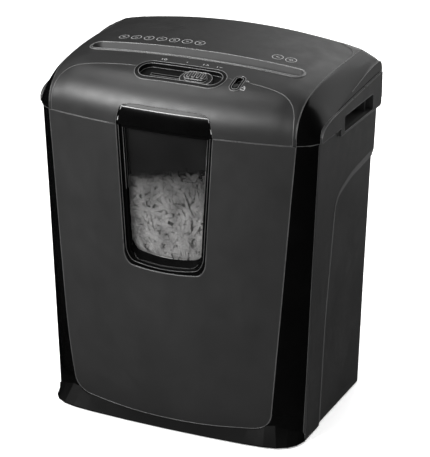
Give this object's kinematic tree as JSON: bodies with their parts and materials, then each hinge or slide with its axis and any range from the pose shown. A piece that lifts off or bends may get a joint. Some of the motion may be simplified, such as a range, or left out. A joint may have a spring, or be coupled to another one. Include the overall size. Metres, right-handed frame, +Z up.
{
  "type": "paper shredder",
  "caption": "Desk-side paper shredder: a waste bin with a viewing window and a lift-off cutting head with a feed slot, a sliding mode control, a safety lock and a geared motor drive.",
  "frame": {"origin": "on the floor, under the middle of the outline", "axes": "+X is the user's right as they face the front, +Y is the rear, +Z is up"},
  "size_m": [0.313, 0.2009, 0.3936],
  "materials": {
    "satin_black": "satin moulded polystyrene with a fine grain",
    "charcoal": "matt textured polypropylene",
    "gloss_black": "polished black ABS",
    "smoked_pane": "smoked clear plastic",
    "rubber": "soft black rubber",
    "shredded_paper": "loose strips of white office paper",
    "grey_liner": "satin grey plastic",
    "dark_tray": "satin black plastic",
    "slider_grey": "satin dark grey plastic",
    "zinc_steel": "zinc-plated sheet steel",
    "tool_steel": "ground and oiled tool steel",
    "bronze": "sintered bronze",
    "copper": "machined copper",
    "gear_nylon": "natural moulded nylon",
    "board_green": "glass-epoxy board",
    "motor_paint": "phosphated steel can",
    "magnet_grey": "ferrite and carbon"
  },
  "bodies": {
    "bin": {"front_panel": "satin_black", "gloss_frame": "gloss_black", "bin_shell": "charcoal", "window_frame": "gloss_black", "window_pane": "smoked_pane", "rubber_feet": "rubber", "interlock_tongue": "charcoal", "paper_shreds": "shredded_paper"},
    "head": {"top_cover": "charcoal", "control_bezel": "satin_black", "feed_funnel": "grey_liner", "window_tab": "gloss_black", "trim_right": "gloss_black", "trim_left": "gloss_black", "rear_panel": "charcoal", "cord_gland": "rubber", "side_panel_right": "charcoal", "side_panel_left": "charcoal", "handle_cup_right": "charcoal", "handle_cup_left": "charcoal", "control_tray": "dark_tray", "mode_switch": "dark_tray", "lock_tray": "dark_tray", "lock_switch": "dark_tray", "housing_screws": "zinc_steel", "lower_housing": "dark_tray", "interlock_switch": "dark_tray", "circuit_board": "board_green", "board_components": "dark_tray", "stripper_comb_front": "dark_tray", "stripper_comb_rear": "dark_tray", "frame_plate_left": "zinc_steel", "frame_plate_right": "zinc_steel", "shaft_bushes": "bronze", "tie_rods": "zinc_steel", "idler_pin": "tool_steel", "motor_can": "motor_paint", "motor_end_cap": "motor_paint", "field_magnets": "magnet_grey", "motor_brushes": "magnet_grey", "lever_pin": "tool_steel"},
    "mode_slider": {"mode_slider": "slider_grey"},
    "safety_lock": {"safety_lock": "slider_grey"},
    "rear_cutter": {"cutter_shaft_rear": "tool_steel", "cutter_discs_rear": "tool_steel", "disc_spacers_rear": "gear_nylon", "sync_gear_rear": "tool_steel", "cutter_gear": "tool_steel"},
    "front_cutter": {"cutter_shaft_front": "tool_steel", "cutter_discs_front": "tool_steel", "disc_spacers_front": "gear_nylon", "sync_gear_front": "tool_steel"},
    "idler": {"idler_gear": "gear_nylon"},
    "armature": {"armature_shaft": "tool_steel", "armature_core": "tool_steel", "commutator": "copper", "motor_pinion": "tool_steel", "motor_fan": "gear_nylon"},
    "plunger": {"interlock_plunger": "gear_nylon"},
    "paper_lever": {"paper_lever": "gear_nylon"}
  },
  "joints": [
    {"name": "head_lift", "type": "slide", "parent": "bin", "child": "head", "axis": [0, 0, 1], "range_m": [0, 0.08]},
    {"name": "mode_slide", "type": "slide", "parent": "head", "child": "mode_slider", "axis": [1, 0, 0], "range_m": [-0.0445, 0.0112]},
    {"name": "lock_slide", "type": "slide", "parent": "head", "child": "safety_lock", "axis": [0, 0.9455, 0.3256], "range_m": [0, 0.009]},
    {"name": "rear_cutter_spin", "type": "hinge", "parent": "head", "child": "rear_cutter", "pos_m": [0, -0.0065, 0.343], "axis": [1, 0, 0], "continuous": true},
    {"name": "front_cutter_spin", "type": "hinge", "parent": "head", "child": "front_cutter", "pos_m": [0, -0.0335, 0.343], "axis": [1, 0, 0], "continuous": true},
    {"name": "idler_spin", "type": "hinge", "parent": "head", "child": "idler", "pos_m": [0, 0.019, 0.343], "axis": [1, 0, 0], "continuous": true},
    {"name": "armature_spin", "type": "hinge", "parent": "head", "child": "armature", "pos_m": [0, 0.047, 0.343], "axis": [1, 0, 0], "continuous": true},
    {"name": "plunger_slide", "type": "slide", "parent": "head", "child": "plunger", "axis": [0, 0, 1], "range_m": [0, 0.002], "stiffness_N_per_m": 200, "springref_m": -0.002},
    {"name": "paper_lever_pivot", "type": "hinge", "parent": "head", "child": "paper_lever", "pos_m": [0, -0.042, 0.3645], "axis": [-1, 0, 0], "range_deg": [0, 15], "stiffness_Nm_per_rad": 0.01, "springref_deg": -17.19}
  ],
  "couplings": [
    {"joint": "front_cutter_spin", "follows": "rear_cutter_spin", "ratio": -1},
    {"joint": "idler_spin", "follows": "rear_cutter_spin", "ratio": -1.8333},
    {"joint": "armature_spin", "follows": "rear_cutter_spin", "ratio": 6.7222}
  ]
}
